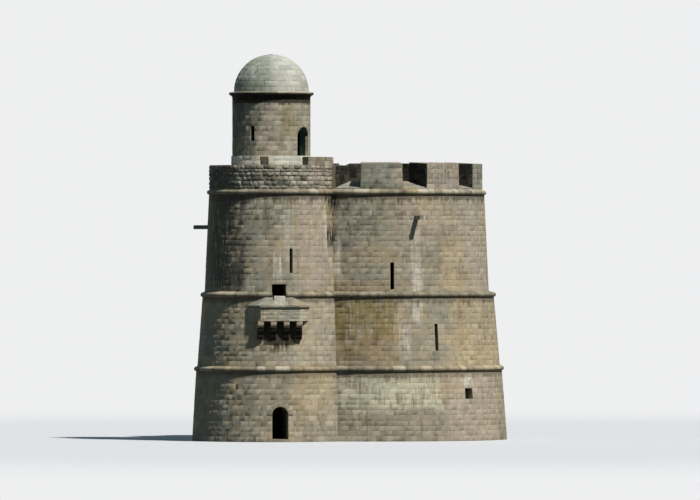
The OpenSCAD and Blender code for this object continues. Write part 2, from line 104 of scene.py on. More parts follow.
class Recipe:
    # a material, or the world, and the tree that its finish is written in
    def __init__(self, name, library=None):
        self.material = (bpy.data.materials if library is None else library).new(name)
        self.material.use_nodes = True
        self.tree = self.material.node_tree
        self.tree.nodes.clear()

    def node(self, kind, inputs=None, out=0, ramp=(), **settings):
        made = self.tree.nodes.new("ShaderNode" + kind)
        for key, value in settings.items():
            setattr(made, key, value)
        while len(ramp) > 2 and len(made.color_ramp.elements) < len(ramp):
            made.color_ramp.elements.new(0.5)
        for k, (spot, colour) in enumerate(ramp):
            made.color_ramp.elements[k].position = spot
            made.color_ramp.elements[k].color = colour
        for key, value in (inputs or {}).items():
            if isinstance(value, Wire):
                self.tree.links.new(value.socket, made.inputs[key])
            else:
                made.inputs[key].default_value = value
        return Wire(self, made.outputs[out]) if made.outputs else None

    def sum(self, operation, *values):
        return self.node("Math", dict(enumerate(values)), operation=operation)

    def noise(self, place, scale, detail, rough):
        amounts = {"Vector": place, "Scale": scale, "Detail": detail, "Roughness": rough}
        return self.node("TexNoise", amounts)

    def step(self, value, low, high):
        # 0 under low, 1 over high and smooth between
        amounts = {"Value": value, "From Min": low, "From Max": high}
        return self.node("MapRange", amounts, interpolation_type="SMOOTHSTEP")

    def band(self, value, low, high, soft):
        rise = self.step(value, low - soft, low + soft)
        return rise * (1 - self.step(value, high - soft, high + soft))

    def blend(self, factor, first, second):
        return self.node("Mix", {0: factor, 6: first, 7: second}, 2, data_type="RGBA")

    def stretch(self, place, amounts):
        return self.node("VectorMath", {0: place, 1: amounts}, operation="MULTIPLY")

    def shade(self, colour, amount):
        return self.node("VectorMath", {0: colour, "Scale": amount}, operation="SCALE")

    def parts(self, vector):
        split = self.node("SeparateXYZ", {"Vector": vector})
        return [split.of(part) for part in "XYZ"]

    def seen(self):
        # 1 for what the camera sees, also in gloss and through glass
        rays = self.node("LightPath")
        mirrored = self.sum("MAXIMUM", rays.of("Is Glossy Ray"), rays.of("Is Transmission Ray"))
        return self.sum("MAXIMUM", rays.of("Is Camera Ray"), mirrored)

    def finish(self, colour, roughness, height, lift):
        bump = self.node("Bump", {"Strength": 1.0, "Distance": lift, "Height": height})
        amounts = {"Base Color": colour, "Roughness": roughness, "Normal": bump}
        amounts["Specular IOR Level"] = weather["gloss"]
        self.node("OutputMaterial", {"Surface": self.node("BsdfPrincipled", amounts)})
        return self.material


weather = dict(
    # the soot colour serves both the crust and painted shade, the pitch colour both dark stains and
    # painted shadow, and the lime colour both lime runs and a painted highlight
    lichen=paint(172, 169, 148), rust=paint(148, 118, 74), soot=paint(64, 58, 47),
    cool=paint(129, 129, 115), greyish=paint(150, 149, 136), warm=paint(176, 155, 116),
    greenish=paint(128, 134, 116), lime=paint(190, 182, 166), ochre=paint(128, 112, 68),
    umber=paint(142, 121, 88), straw=paint(188, 182, 156), rose=paint(172, 154, 138),
    pitch=paint(25, 23, 18),
    blackest=0.85,  # how far the crust covers the stone
    gloss=0.08,  # specular level of weathered stone
)
noises = dict(  # scale, detail and roughness
    grain=(60, 2, 0.7), pits=(24, 3, 0.6), mottle=(6, 4, 0.6), lichen=(2.3, 6, 0.7),
    wander=(1.1, 4, 0.6), patch=(0.9, 5, 0.62), broad=(0.28, 3, 0.5), runs=(1, 5, 0.65),
    fineRuns=(1, 3, 0.6),
)
drawnOut = dict(runs=(1.7, 1.7, 0.1), fineRuns=(5.5, 5.5, 0.35))
onset = dict(  # where each stain starts to show and where it is full
    cool=(0.5, 0.62), warm=(0.5, 0.64), lichen=(0.54, 0.66), rust=(0.56, 0.74), stain=(0.28, 0.55),
    lime=(0.36, 0.56), crust=(0.55, 0.74),
    bandFade=(0.22, 0.6),  # metres under a string course
)


def stoneFinish(name, tower, **own):
    look = {**granite, **own}
    r = Recipe(name)
    place = r.node("TexCoord").of("Object")
    x, y, z = r.parts(place)
    tone = r.node("Attribute", attribute_name="stoneTone")
    pick, dark, dressed = r.parts(tone.of("Vector"))
    grain, mottle, patch, broad = (
        r.noise(place, *noises[kind]) for kind in ("grain", "mottle", "patch", "broad")
    )
    runs, fineRuns = (r.noise(r.stretch(place, drawnOut[k]), *noises[k]) for k in drawnOut)

    colour = r.node("ValToRGB", {"Fac": pick + (mottle - 0.5) * 0.6}, ramp=look["stops"])
    light = 0.9 + (dark - 0.5) * look["spread"] + (patch - 0.5) * look["patchy"] + (grain - 0.5) * 0.35
    light = light + (runs - 0.5) * look["streaky"]
    colour = r.shade(colour, light)
    colour = r.blend(dressed * look["dressed"], colour, look["pale"])

    # tints metres wide, then lichen and iron stains in small patches
    tint = broad + (patch - 0.5) * 0.4
    lichen = r.step(r.noise(place, *noises["lichen"]), *onset["lichen"]) * look["lichen"]
    for kind, mask in (
        ("cool", r.step(tint, *onset["cool"]) * look["cool"]),
        ("warm", r.step(1 - tint, *onset["warm"]) * look["warm"]),
        ("lichen", lichen),
        ("rust", r.step(mottle + (broad - 0.5), *onset["rust"]) * look["rust"]),
    ):
        colour = r.blend(mask, colour, weather[kind])

    # stains and lime runs where they lie on this wall, by azimuth and height; some of them are painted
    # shade or a painted highlight
    turn = r.sum("ARCTAN2", x, tower["axis"] - y) * (180 / pi)
    wander = (r.noise(place, *noises["wander"]) - 0.5) * 6.0

    def area(spot, aside, upward, soft, softUp):
        start, end, low, high = spot
        return r.band(turn + aside, start, end, soft) * r.band(z + upward, low, high, softUp)

    for *spot, strength, stain in look["stains"]:
        mask = area(spot, wander, wander * 0.14, look["soft"], 0.4) * strength
        mask = mask * r.step(patch + (fineRuns - 0.5), *onset["stain"])
        colour = r.blend(mask, colour, weather[stain])
    # painted shadow: black where the box, its corbels and the lookout's cornice throw shade
    for *spot, strength in look["pitched"]:
        mask = area(spot, wander * 0.4, wander * 0.02, 1.5, 0.05) * strength
        colour = r.blend(mask, colour, weather["pitch"])
    for *spot, strength in look["limeRuns"]:
        mask = area(spot, wander * 0.3, wander * 0.2, 0.8, 0.6)
        mask = mask * r.step(fineRuns, *onset["lime"]) * strength
        colour = r.blend(mask, colour, weather["lime"])

    # black crust in long runs, and a dark band under each string course: partly water seeping from it,
    # partly painted shadow under its nose
    crust = r.step(runs + (fineRuns - 0.5) * 0.4, *onset["crust"]) * look["crust"]
    for foot, bandStrength in look["seeps"]:
        drop = (foot - z) + (runs - 0.5) * 1.6 + (fineRuns - 0.5) * 1.0
        seepAndShadow = (1 - r.step(drop, *onset["bandFade"])) * r.step(z, foot - 2.6, foot - 1.2)
        crust = crust + seepAndShadow * (1 - r.step(z, foot, foot + 0.02)) * bandStrength
    colour = r.blend(r.sum("MINIMUM", crust, weather["blackest"]), colour, weather["soot"])

    colour = r.shade(colour, 1 - tone.of("Alpha") * look["dirtyJoint"])
    roughness = 0.84 + (mottle - 0.5) * 0.14 - lichen * 0.04
    height = grain * 0.25 + mottle * 0.45 + r.noise(place, *noises["pits"]) * 0.5
    return r.finish(colour, roughness, height, look["bump"])


# dark bands under the string courses: partly seeping water, partly painted shadow of their noses
stringSeepsAndShadows = [
    (level["lowerString"], 0.5), (level["middleString"], 0.55), (level["topString"], 0.7)
]
granite = dict(
    stops=stops(
        (142, 133, 113), (155, 144, 122), (163, 151, 128), (150, 143, 127), (174, 163, 140),
        at=(0, 0.3, 0.6, 0.85, 1),
    ),
    pale=paint(174, 164, 143), dressed=0.35, spread=0.18, patchy=0.65, streaky=0.35, soft=2.2,
    cool=0.4, warm=0.4, lichen=0.25, rust=0.25, crust=0.5, seeps=[],
    stains=[],  # azimuths, heights, strength and colour
    limeRuns=[], pitched=[], dirtyJoint=0.05, bump=0.01,
)
drumGranite = stoneFinish(
    "drumGranite", drum, seeps=stringSeepsAndShadows,
    stains=[
        (27, 58, 12, 18.2, 0.35, "cool"), (86, 122, 10.8, 15, 0.55, "warm"),
        (60, 84, 14.5, 18.2, 0.3, "rose"), (20, 56, 11, 12, 0.45, "umber"),
        (20, 60, 7.6, 10.7, 0.85, "ochre"), (20, 61, 5.5, 7.9, 0.75, "umber"),
        (64, 86, 5.5, 10.6, 0.5, "cool"), (88, 130, 5.4, 10.6, 0.45, "warm"),
        (20, 80, 2.5, 4.6, 0.85, "straw"), (84, 120, 0, 5.2, 0.5, "rose"),
        (94, 97, 8.6, 10.6, 0.6, "umber"), (100, 126, 11, 18.3, 0.35, "rose"),
        (102, 126, 11, 18.3, 0.45, "greyish"), (56, 61, 10.6, 12.6, 0.6, "umber"),
        (10, 31, 17, 18.5, 0.9, "pitch"), (10, 30.5, 14.6, 15.8, 0.8, "pitch"),
    ],
    limeRuns=[
        (69.5, 75, 11, 13.4, 0.9), (68.5, 74, 13.4, 16, 0.45), (68, 73, 8.9, 10.5, 0.9),
        (61.5, 67, 6.6, 8.6, 0.7), (29.5, 33, 12.3, 15.3, 0.85), (93, 100, 3.9, 5, 0.9),
        (213, 219, 9, 16.3, 0.75), (285, 291, 9, 16.3, 0.75),
    ],
)
turretGranite = stoneFinish(
    "turretGranite", turret, seeps=stringSeepsAndShadows,
    stains=[
        (-10, 44, 11.2, 18.2, 0.45, "greyish"), (60, 104, 11.2, 18.2, 0.45, "cool"),
        (74, 104, 11.2, 18.2, 0.45, "rose"), (60, 110, 5.6, 10.6, 0.45, "greyish"),
        # the soot stains from az -75 to 26 are painted shade on the turret's side turned from the sun
        (72, 110, 5.6, 10.6, 0.15, "warm"), (-75, 26, 11.2, 18.2, 0.35, "soot"),
        (-45, 26, 11.2, 18.2, 0.35, "soot"), (-15, 26, 11.2, 18.2, 0.45, "soot"),
        # the pitch band at az 50 to 64 under the box is painted shadow; those near the crease darken it
        # in patches
        (50, 64, 6.7, 7.5, 0.9, "pitch"), (109, 150, 17, 18.5, 1, "pitch"),
        (112, 150, 15.6, 17.4, 0.45, "umber"), (109, 150, 14.6, 15.8, 0.95, "pitch"),
    ],
    # painted shadow of the box over the entrance
    pitched=[(44, 70, 7.15, 8.9, 0.85)],
    limeRuns=[
        (52, 59, 11.9, 13.9, 0.85), (61, 71, 13.8, 18, 0.35), (104, 110, 13.3, 17.5, 0.8),
        (-43, -37, 11.2, 15.7, 0.7),
    ],
)
parapetGranite = stoneFinish(
    "parapetGranite", drum,
    stops=stops(
        (110, 108, 93), (130, 127, 111), (144, 138, 120), (160, 152, 133), at=(0, 0.35, 0.7, 1),
    ),
    cool=0.5, warm=0.15,
    stains=[
        (40, 58, 18.7, 21, 0.7, "cool"), (60, 67, 18.7, 21, 0.3, "rose"),
        (76, 104, 18.7, 21, 0.6, "rose"),
    ],
    lichen=0.4, rust=0.1,
)
# painted shade: near-black stone for the parapet's inner faces and embrasure cheeks and for the inside
# of the lookout wall, standing in for the shade seen there
sootedGranite = stoneFinish(
    "sootedGranite", drum, stops=stops((32, 31, 27), (46, 44, 38), (72, 69, 59)),
    pale=paint(72, 69, 59), cool=0.05, warm=0, lichen=0.1, rust=0.05, crust=0.3,
)
shadedGranite = stoneFinish(
    "shadedGranite", drum, stops=stops((44, 58, 52), (56, 72, 66), (66, 84, 76)), cool=0,
    warm=0, lichen=0.05, rust=0,
)
headRubble = stoneFinish(
    "headRubble", turret,
    stops=stops(
        (80, 80, 72), (120, 117, 105), (150, 144, 128), (182, 174, 155), at=(0, 0.4, 0.75, 1),
    ),
    stains=[
        # the soot stain from az -70 to 14 is painted shade on the side turned from the sun
        (-70, 14, 18.7, 20.7, 0.65, "soot"), (86, 101, 19.2, 20.7, 0.7, "rose"),
        (101, 140, 18.7, 20.7, 0.5, "rose"),
    ],
    spread=0.35, cool=0.2, warm=0.1, lichen=0.35, rust=0.1, crust=0.45, dirtyJoint=0.45, bump=0.02,
)
stringStone = stoneFinish(
    "stringStone", drum,
    stops=stops((124, 116, 97), (152, 142, 121), (190, 180, 158), at=(0, 0.6, 1)), lichen=0.4,
    crust=0.45, limeRuns=[(78, 82, 18.4, 18.9, 0.9), (94.5, 98.5, 18.4, 18.9, 0.9)],
    stains=[
        (63, 69, 18.2, 18.9, 0.6, "soot"), (10, 31, 18.2, 18.6, 0.5, "soot"),
        (-190, 190, 10.3, 11.5, 0.28, "soot"), (-190, 190, 4.8, 6, 0.14, "soot"),
        (24, 62, 4.8, 11.5, 0.25, "soot"),
    ],
    dirtyJoint=0.25,
)
# corbels painted black below their top step: painted shade under the box
corbelStone = stoneFinish("corbelStone", turret, pitched=[(-190, 190, 7, 8.45, 1)])
corniceStone = stoneFinish(
    "corniceStone", turret,
    stops=stops((150, 142, 122), (172, 164, 144), (194, 187, 168), at=(0, 0.6, 1)),
    # the face under the lip painted black: painted shade of the cornice's hollow
    pitched=[(-190, 190, 25.15, 25.87, 1)],
)
# sills darker than the wall stone: painted shade for the shade that half covers them
sillStone = stoneFinish(
    "sillStone", drum, stops=stops((108, 105, 95), (130, 126, 115), (156, 151, 139)), lichen=0.45,
    rust=0.1, crust=0.35, dirtyJoint=0.4,
)
lookoutStone = stoneFinish(
    "lookoutStone", turret, stops=stops((140, 134, 117), (154, 147, 127), (168, 160, 139)),
    spread=0.12, patchy=0.45, cool=0.2, warm=0.15,
    stains=[
        # the soot stain from az -70 to 6 is painted shade on the side turned from the sun
        (-70, 6, 21.2, 25.4, 0.6, "soot"), (30, 62, 21.2, 25.2, 0.35, "rose"),
        (66, 88, 22.6, 24.9, 0.55, "ochre"),
    ],
    # painted shadow of the cornice: a black band at the top of the wall and a dark band under it
    pitched=[(-190, 190, 25.12, 25.6, 0.9)], crust=0.35, seeps=[(level["cornice"] + 0.2, 0.9)],
    bump=0.006,
)
boxGranite = stoneFinish(
    "boxGranite", turret, stops=stops((154, 150, 131), (172, 166, 146), (186, 179, 159)),
    stains=[(-190, 190, 9.1, 10.2, 0.2, "cool")],
)
roofGranite = stoneFinish(
    "roofGranite", turret, stops=stops((112, 109, 95), (126, 122, 107), (144, 139, 123)),
    stains=[(-190, 190, 9.8, 10.8, 0.3, "cool")], limeRuns=[(52, 60, 9.9, 10.9, 0.6)],
)
limeStone = stoneFinish(
    "limeStone", turret, stops=stops((196, 193, 177), (208, 204, 187), (218, 214, 198)), cool=0.1,
    warm=0, lichen=0.15, rust=0.1, crust=0.35, bump=0.006,
)
domeStone = stoneFinish(
    "domeStone", turret, stops=stops((154, 154, 142), (168, 167, 154), (182, 180, 167)),
    spread=0.12, patchy=0.45, soft=16, cool=0.25, warm=0,
    # the lime patch from az 60 to 96 is a painted highlight on the sunlit side of the dome; the greenish
    # patch is a stain
    stains=[(-20, 52, 25.8, 28.6, 0.95, "greenish"), (60, 96, 26, 27.2, 0.6, "lime")],
    lichen=0.35, rust=0, crust=0.35, dirtyJoint=0.15, bump=0.005,
)
flagStone = stoneFinish(
    "flagStone", drum, stops=stops((122, 118, 104), (142, 136, 119), (162, 154, 136)), crust=0.35,
)


def coreFinish(name, look):
    # bedding mortar between the laid stones, and coursed rubble on the inner faces
    r = Recipe(name)
    place = r.node("TexCoord").of("Object")
    x, y, z = r.parts(place)
    across = y - look["axis"]
    reach = r.sum("SQRT", x * x + across * across)
    around = r.sum("ARCTAN2", x, 0.0 - across) * look["radius"] + reach
    laid = r.node("CombineXYZ", {"X": around, "Y": z, "Z": 0.0})
    amounts = {
        "Vector": laid, "Color1": look["first"], "Color2": look["second"], "Mortar": look["mortar"],
        "Scale": 1.0, "Mortar Size": look["joint"], "Mortar Smooth": 0.4, "Bias": 0.0,
        "Brick Width": look["long"], "Row Height": look["tall"],
    }
    bricks = r.node("TexBrick", amounts, offset=0.5, squash=1.0)
    patch, mottle, grain = (r.noise(place, *look[kind]) for kind in ("patch", "mottle", "grain"))
    colour = r.shade(bricks, 0.7 + patch * 0.5 + (mottle - 0.5) * 0.4)
    height = mottle * 0.5 + grain * 0.25 - bricks.of("Fac") * 0.8
    return r.finish(colour, 0.9 + (mottle - 0.5) * 0.1, height, look["bump"])


core = dict(
    axis=drum["axis"], radius=8, first=paint(126, 119, 101), second=paint(146, 136, 114),
    mortar=paint(146, 138, 118), long=0.7, tall=0.38, joint=0.02, patch=(0.8, 5, 0.6),
    mottle=(9, 4, 0.6), grain=(40, 2, 0.6), bump=0.02,
)
drumCore = coreFinish("drumCore", core)
turretCore = coreFinish("turretCore", dict(core, axis=turret["axis"], radius=5))
floorCore = coreFinish("floorCore", dict(core, long=0.9, tall=0.6))
print("finishes made")


# Faces that stones are laid on. u runs along a course and v across the courses.


def line(places, values):
    # a value that changes evenly between two places
    slope = (values[1] - values[0]) / (places[1] - places[0])
    return lambda v: values[0] + (v - places[0]) * slope


def turned(tower, u, r, z):
    # spots at azimuths u round the axis of the drum or of the turret
    return np.stack([r * np.sin(u), tower["axis"] - r * np.cos(u), z], -1)


class TurnedFace:
    # face round an axis: u is an azimuth, and section gives a radius and a height
    def __init__(self, tower, wide, section):
        self.tower, self.wide, self.section = tower, wide, section

    def place(self, u, v, out):
        r, z = self.section(v, out)
        return turned(self.tower, u, r, z)


def roundFace(tower, radii, heights, side=1):
    # battered wall: v is a height
    wide = line(heights, radii)
    return TurnedFace(tower, wide, lambda v, out: (wide(v) + out * side, v))


def ringFace(tower, radii, heights):
    # level or sloping ring: v is a radius
    rise = line(radii, heights)
    return TurnedFace(tower, lambda v: v, lambda v, out: (v, rise(v) + out))


def domeFace(tower, radius, spring):
    # v is the way up the curve from the springing, upright below it
    def section(v, out):
        rise, r = np.maximum(v, 0.0) / radius, radius + out
        return r * np.cos(rise), spring + np.minimum(v, 0.0) + r * np.sin(rise)

    return TurnedFace(tower, lambda v: radius * cos(max(v, 0.0) / radius), section)


class FlatFace:
    # four-cornered face: u goes from 0 to 1 along its foot and v up its left side in metres
    def __init__(self, footLeft, footRight, topRight, topLeft, side=1):
        self.corners = [np.array(c, float) for c in (footLeft, footRight, topRight, topLeft)]
        a, b, c, d = self.corners
        self.foot, self.top = np.linalg.norm(b - a), np.linalg.norm(c - d)
        self.tall = np.linalg.norm((d + c) / 2 - (a + b) / 2)
        normal = np.cross(b - a, (d + c) / 2 - (a + b) / 2)
        self.normal = side * normal / np.linalg.norm(normal)

    def wide(self, v):
        return self.foot + (self.top - self.foot) * v / self.tall

    def place(self, u, v, out):
        a, b, c, d = self.corners
        u, t, out = u[..., None], (v / self.tall)[..., None], out[..., None]
        return (a + (b - a) * u) * (1 - t) + (d + (c - d) * u) * t + self.normal * out


class ArchFace:
    # ring round an arch on another face: u is an angle and v the distance from its centre
    def __init__(self, wall, at, spring):
        self.wall, self.at, self.spring = wall, at, spring

    def wide(self, v):
        return v

    def place(self, u, v, out):
        along = self.at + v * np.cos(u) / self.wall.wide(self.spring)
        return self.wall.place(along, self.spring + v * np.sin(u), out)


@cache
def gridFaces(columns, rows):
    # faces of one closed stone: its front grid, its sides and its back
    front = [
        (c + r * columns, c + 1 + r * columns, c + 1 + (r + 1) * columns, c + (r + 1) * columns)
        for r in range(rows - 1) for c in range(columns - 1)
    ]
    rim = list(range(columns))
    rim += [columns - 1 + r * columns for r in range(1, rows)]
    rim += [c + (rows - 1) * columns for c in range(columns - 2, -1, -1)]
    rim += [r * columns for r in range(rows - 2, 0, -1)]
    count, back = len(rim), columns * rows
    sides = [(rim[(k + 1) % count], rim[k], back + k, back + (k + 1) % count) for k in range(count)]
    return [*front, *sides, tuple(range(back + count - 1, back - 1, -1))], rim


def addToScene(name, data):
    made = bpy.data.objects.new(name, data)
    scene.collection.objects.link(made)
    return made


def toneMesh(mesh, tones):
    made = mesh.attributes.new("stoneTone", "FLOAT_COLOR", "POINT")
    made.data.foreach_set("color", tones.astype(np.float32).ravel())


mason = dict(
    least=(0.06, 0.05),  # width and height under which a stone is left out
    arrisShare=0.22, arrisVary=(0.8, 1.3), arrisDrop=0.8, edgeRough=0.5,
    cuts=(4, 2),  # most lines across and up a stone's face
    wornBy=(0.5, 1.0), chippedBy=(0.4, 1.0),
    closers=[0.42, 0.62], closerRun=1.2,  # stones beside an opening
    lengths=(0.68, 1.38), longest=1.5, tries=4, leastLast=0.1,
    kept=200,  # joints of the courses below that are still kept clear
    touch=0.02, narrow=0.04, leastTall=0.06, leastRun=0.12, archLap=0.05,
    lap=0.01,  # azimuth by which a course runs on into the other wall
)


def gridLines(size, arris, cell, most):
    # an arris at both ends of a stone and even cells between
    count = int(np.clip(round(size / cell) - 1, 0, most)) + 1
    inner = [arris + (size - 2 * arris) * k / count for k in range(count)]
    return [0, *inner, size - arris, size]


class Stonework:
    # stones of one zone, gathered into one mesh
    def __init__(self, name, seed):
        self.name = name
        self.draw = np.random.default_rng(seed)
        self.spots, self.faces, self.tones, self.count = [], [], [], 0

    def add(self, spots, faces, dressed, edge):
        # each stone draws its own tone
        tone = [self.draw.random(), self.draw.random(), dressed]
        self.spots.append(spots)
        self.tones.append(np.column_stack([np.tile(tone, (len(spots), 1)), edge]))
        self.faces += [tuple(self.count + i for i in f) for f in faces]
        self.count += len(spots)

    def stone(self, face, lowEnds, highEnds, low, high, look, dressed=0.0):
        draw = self.draw
        (a, b), (c, d) = lowEnds, highEnds
        width = ((b - a) + (d - c)) / 2 * face.wide((low + high) / 2)
        tall, half = high - low, look["joint"] / 2
        w, h = width - 2 * half, tall - 2 * half
        if w < mason["least"][0] or h < mason["least"][1]:
            return
        arris = min(look["arris"], mason["arrisShare"] * w, mason["arrisShare"] * h)
        arris *= draw.uniform(*mason["arrisVary"])
        across = gridLines(w, arris, look["cell"], mason["cuts"][0])
        upward = gridLines(h, arris, look["cell"], mason["cuts"][1])
        along, up = np.meshgrid(across, upward)
        s, t = along / w, up / h
        shift = draw.uniform(-look["wobble"], look["wobble"], (4, 2))
        weights = [(1 - s) * (1 - t), s * (1 - t), s * t, (1 - s) * t]
        along = along + sum(weight * move[0] for weight, move in zip(weights, shift))
        up = up + sum(weight * move[1] for weight, move in zip(weights, shift))
        proud = look["proud"] + draw.uniform(-look["uneven"], look["uneven"])
        if draw.random() < look["worn"]:
            proud -= look["proud"] * draw.uniform(*mason["wornBy"])
        dressed = max(dressed, look.get("dressed", 0.0))
        swell = look["swell"] * (1 - (2 * s - 1) ** 2) * (1 - (2 * t - 1) ** 2)
        out = proud + swell + draw.normal(0, look["rough"], along.shape)
        rim = np.zeros(along.shape, bool)
        rim[0], rim[-1], rim[:, 0], rim[:, -1] = True, True, True, True
        out[rim] = proud - arris * mason["arrisDrop"]
        out[rim] += draw.normal(0, look["rough"] * mason["edgeRough"], rim.sum())
        if draw.random() < look["chipped"]:
            ends = slice(0, 2), slice(-2, None)
            rows, columns = ends[draw.choice([0, 1])], ends[draw.choice([0, 1])]
            out[rows, columns] -= draw.uniform(*mason["chippedBy"]) * arris
        out = np.maximum(out, look["least"])
        faces, ring = gridFaces(len(across), len(upward))
        along, up = (np.concatenate([g.ravel(), g.ravel()[ring]]) + half for g in (along, up))
        sink = look.get("jamb", look["sink"]) if dressed else look["sink"]
        out = np.concatenate([out.ravel(), np.full(len(ring), -sink)])
        s, t = along / width, up / tall
        u = (a + (b - a) * s) * (1 - t) + (c + (d - c) * s) * t
        edge = np.concatenate([rim.ravel().astype(float), np.ones(len(ring))])
        self.add(face.place(u, low + up, out), faces, dressed, edge)

    def lay(self, face, heights, span, look, cuts=()):
        # courses between heights. span gives their ends at one height, or is None for a full ring
        below = np.array([])
        for low, high in zip(heights, heights[1:]):
            if span is None:
                start = self.draw.uniform(0, 0.3)
                ends = [(start, start + fullTurn)] * 2
            else:
                ends = [span(low), span(high)]
            if min(e[1] - e[0] for e in ends) <= 0:
                continue
            wide = face.wide((low + high) / 2)
            for run in courseRuns(face, ends, low, high, cuts):
                if "cut" not in run:
                    self.stone(face, run["ends"], run["ends"], run["low"], run["high"], look, 1.0)
                    continue
                (a, b), (c, d) = run["ends"]
                start, end = (a + c) / 2 * wide, (b + d) / 2 * wide
                marks = splitRun(start, end, look["long"], below, run["cut"], self.draw)
                below = np.concatenate([below, marks])
                shares = (np.array(marks) - marks[0]) / (marks[-1] - marks[0])
                last = len(shares) - 2
                for k, (p, q) in enumerate(zip(shares, shares[1:])):
                    dressed = float((k == 0 and run["cut"][0]) or (k == last and run["cut"][1]))
                    lowEnds = a + (b - a) * p, a + (b - a) * q
                    highEnds = c + (d - c) * p, c + (d - c) * q
                    self.stone(face, lowEnds, highEnds, low, high, look, dressed)
            below = below[-mason["kept"]:]

    def arch(self, wall, opening, look):
        # ring of stones round the head of an opening
        face = ArchFace(wall, radians(opening["at"]), opening["high"] - opening["half"])
        reach = opening["half"], opening["half"] + opening["ring"]
        self.lay(face, reach, lambda v: (0.0, pi), look)

    def sweep(self, tower, profile, span, long, joint, lift=0.004, steps=4):
        # stones of one section, bent round an axis. profile is its outline in radius and height
        profile = np.array(profile, float)
        reach = profile[:, 0].max()
        marks = splitRun(span[0] * reach, span[1] * reach, long, np.array([]), (False, False), self.draw)
        count = len(profile)
        faces = [
            tuple(across + along * count for across, along in ((k, s), (n, s), (n, s + 1), (k, s + 1)))
            for s in range(steps) for k, n in zip(range(count), [*range(1, count), 0])
        ]
        faces += [tuple(range(count - 1, -1, -1)), tuple(range(steps * count, (steps + 1) * count))]
        edge = np.zeros((steps + 1, count))
        edge[0], edge[-1] = 1.0, 1.0
        for a, b in zip(marks, marks[1:]):
            turns = np.linspace(a + joint / 2, b - joint / 2, steps + 1) / reach
            r = profile[:, 0] + self.draw.uniform(-lift, lift)
            spots = [turned(tower, turn, r, profile[:, 1]) for turn in turns]
            self.add(np.concatenate(spots), faces, 0.0, edge.ravel())

    def build(self, material, smooth=35):
        mesh = bpy.data.meshes.new(self.name)
        mesh.from_pydata(np.concatenate(self.spots).tolist(), [], self.faces)
        shape = bmesh.new()
        shape.from_mesh(mesh)
        bmesh.ops.recalc_face_normals(shape, faces=shape.faces)
        shape.to_mesh(mesh)
        shape.free()
        toneMesh(mesh, np.concatenate(self.tones))
        mesh.shade_smooth()
        mesh.set_sharp_from_angle(angle=radians(smooth))
        mesh.materials.append(material)
        piece = addToScene(self.name, mesh)
        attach(piece, "root")
        mesh.calc_loop_triangles()
        print(self.name, "laid:", len(mesh.loop_triangles), "triangles")


def splitRun(start, end, long, below, cut, draw):
    # joints of one course, kept away from those of the course below
    marks, run = [start], mason["closerRun"]
    if cut[0]:
        marks.append(start + draw.choice(mason["closers"]) * min(1.0, (end - start) / run))
    stop = end - (draw.choice(mason["closers"]) if cut[1] and end - marks[-1] > run else 0.0)
    while stop - marks[-1] > mason["longest"] * long:
        tries = marks[-1] + long * draw.uniform(*mason["lengths"], mason["tries"])
        gaps = [np.abs(below - m).min() if len(below) else 1.0 for m in tries]
        marks.append(float(tries[int(np.argmax(gaps))]))
    if end - stop > mason["leastLast"]:
        marks.append(stop)
    marks.append(end)
    return marks


def cutHalf(cut, low, high):
    # half width of an opening in one course, the ring of its arch included where there is one
    spring = cut["high"] - cut["half"]
    if not cut.get("arch") or low < spring - 0.01:
        return cut["half"]
    inner = sqrt(max(cut["half"] ** 2 - (low - spring) ** 2, 0.0))
    outer = sqrt(max((cut["half"] + cut["ring"]) ** 2 - (high - spring) ** 2, 0.0))
    return max(inner + mason["touch"], outer - mason["archLap"])


def courseRuns(face, ends, low, high, cuts):
    # stretches of one course between openings, and short stones over and under the openings
    wide, holes, runs = face.wide((low + high) / 2), [], []
    first, last = (ends[0][0] + ends[1][0]) / 2, (ends[0][1] + ends[1][1]) / 2
    touch, leastTall, leastRun = mason["touch"], mason["leastTall"], mason["leastRun"] / wide
    for cut in cuts:
        if cut["high"] <= low + touch or cut["low"] >= high - touch:
            continue
        half = cutHalf(cut, low, high) / wide
        if half * wide < mason["narrow"]:
            continue
        for turn in (-fullTurn, 0, fullTurn):
            a, b = radians(cut["at"]) + turn - half, radians(cut["at"]) + turn + half
            if b <= first or a >= last:
                continue
            holes.append((a, b))
            if cut.get("arch"):
                continue
            if cut["low"] > low + leastTall:
                runs.append(dict(ends=(a, b), low=low, high=cut["low"]))
            if cut["high"] < high - leastTall:
                runs.append(dict(ends=(a, b), low=cut["high"], high=high))
    holes.sort()
    at, cutAt = (ends[0][0], ends[1][0]), False
    for a, b in holes:
        if a - sum(at) / 2 > leastRun:
            runs.append(dict(ends=((at[0], a), (at[1], a)), cut=(cutAt, True)))
        at, cutAt = (b, b), True
    if last - sum(at) / 2 > leastRun:
        runs.append(dict(ends=((at[0], ends[0][1]), (at[1], ends[1][1])), cut=(cutAt, False)))
    return runs


def courses(fixed, tall, draw, vary=0.05):
    # heights of the beds between fixed levels
    heights = [fixed[0]]
    for low, high in zip(fixed, fixed[1:]):
        count = max(1, round((high - low) / tall))
        step = (high - low) / count
        heights += [low + step * (k + draw.uniform(-vary, vary)) for k in range(1, count)] + [high]
    return heights


def crease(own, other):
    # azimuth about one axis where its wall meets the wall about the other axis
    return acos((apart**2 + own**2 - other**2) / (2 * apart * own))


def wallSpan(tower, storey):
    # ends of a course, which runs on a little into the other wall
    other = turret if tower is drum else drum
    own, far = (line(storeys[storey], wall[storey]) for wall in (tower, other))

    def span(z):
        a = crease(own(z), far(z)) - mason["lap"]
        return (a, fullTurn - a) if tower is drum else (a - pi, pi - a)

    return span


def wholeSpan(v):
    return 0.0, 1.0


